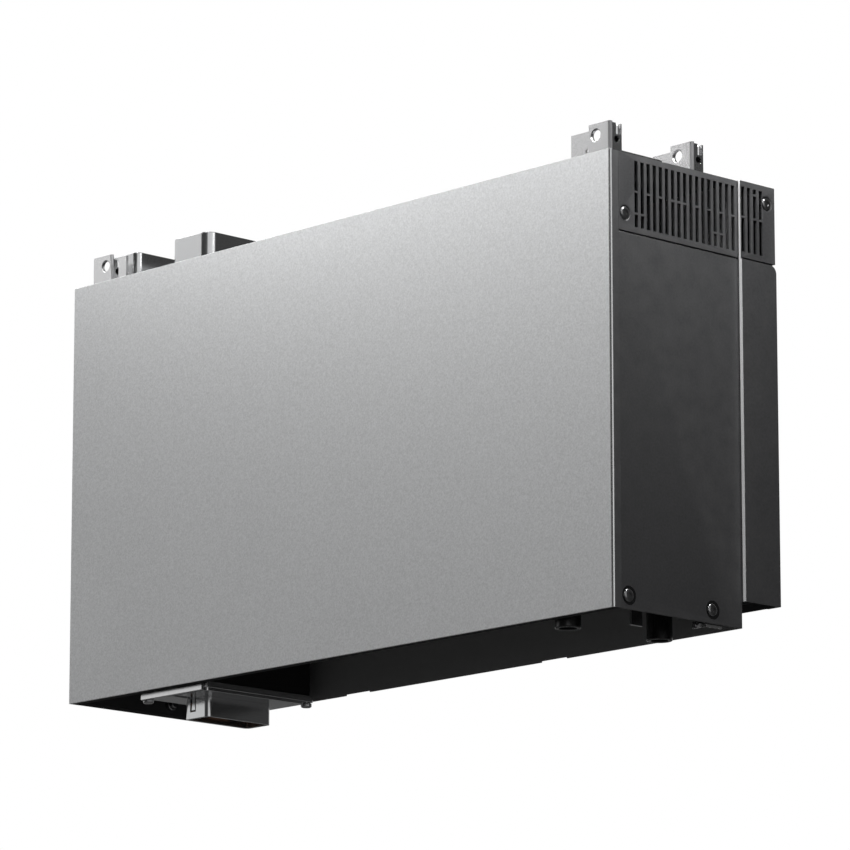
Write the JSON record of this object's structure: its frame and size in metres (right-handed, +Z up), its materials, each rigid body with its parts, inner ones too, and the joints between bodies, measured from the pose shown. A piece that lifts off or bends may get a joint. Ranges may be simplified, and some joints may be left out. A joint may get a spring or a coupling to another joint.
{
  "type": "home battery module",
  "caption": "Wall-hung home battery module with a silver front, slotted side grilles, stacking brackets and connector shrouds on top, and a plug in its open skirt.",
  "frame": {"origin": "centre of the four wall bolts, on the wall plane at the back of the two rails", "axes": "+Z up, +X to the right seen from the front, +Y from the front into the wall"},
  "size_m": [0.8108, 0.238, 0.511],
  "materials": {
    "front_silver": "bead-blasted, anodised",
    "case_graphite": "satin",
    "trim_aluminium": "satin",
    "chassis_dark": "satin, dark grey",
    "bracket_zinc": "zinc plated, satin",
    "rear_graphite": "satin",
    "shroud_grey": "die-cast, satin",
    "black_plastic": "fine texture",
    "screw_steel": "satin",
    "black_screw": "black oxide",
    "copper": "bare copper",
    "cell_blue": "film wrap",
    "insulation": "matte",
    "end_aluminium": "as extruded",
    "board_green": "solder mask",
    "ivory_plastic": "moulded"
  },
  "bodies": {
    "root": {"front_panel": "front_silver", "front_frame": "case_graphite", "right_side_panel": "case_graphite", "left_side_panel": "case_graphite", "right_grille_cover": "case_graphite", "left_grille_cover": "case_graphite", "right_rear_panel": "case_graphite", "left_rear_panel": "case_graphite", "right_trim_strip": "trim_aluminium", "left_trim_strip": "trim_aluminium", "chassis_back": "chassis_dark", "chassis_floor": "chassis_dark", "right_end_wall": "chassis_dark", "left_end_wall": "chassis_dark", "top_plate": "chassis_dark", "right_front_bracket": "bracket_zinc", "right_rear_bracket": "bracket_zinc", "left_front_bracket": "bracket_zinc", "left_rear_bracket": "bracket_zinc", "junction_lid": "bracket_zinc", "plug_flange": "bracket_zinc", "latch_hook": "bracket_zinc", "earth_lug": "bracket_zinc", "wall_rails": "bracket_zinc", "bay_tray": "bracket_zinc", "rear_cover": "rear_graphite", "intake_screen": "rear_graphite", "power_socket": "shroud_grey", "signal_socket": "shroud_grey", "plug_housing": "shroud_grey", "plug_latch": "shroud_grey", "junction_box": "black_plastic", "guide_cups": "black_plastic", "rear_screws": "screw_steel", "bracket_screws": "screw_steel", "weld_nuts": "screw_steel", "lid_knobs": "screw_steel", "cell_straps": "screw_steel", "earth_screw": "black_screw", "side_screws": "black_screw", "grille_screws": "black_screw", "power_contacts": "copper", "signal_pins": "copper", "plug_contacts": "copper", "bus_bars": "copper", "riser_bars": "copper", "cells": "cell_blue", "cell_sheets": "insulation", "cell_pads": "insulation", "cell_shelf": "insulation", "end_plates": "end_aluminium", "heat_sink": "end_aluminium", "cooling_fins": "end_aluminium", "sense_board": "board_green", "management_board": "board_green", "converter_board": "board_green", "relay": "ivory_plastic", "fuse_holder": "ivory_plastic", "terminal_blocks": "ivory_plastic"}
  },
  "joints": []
}
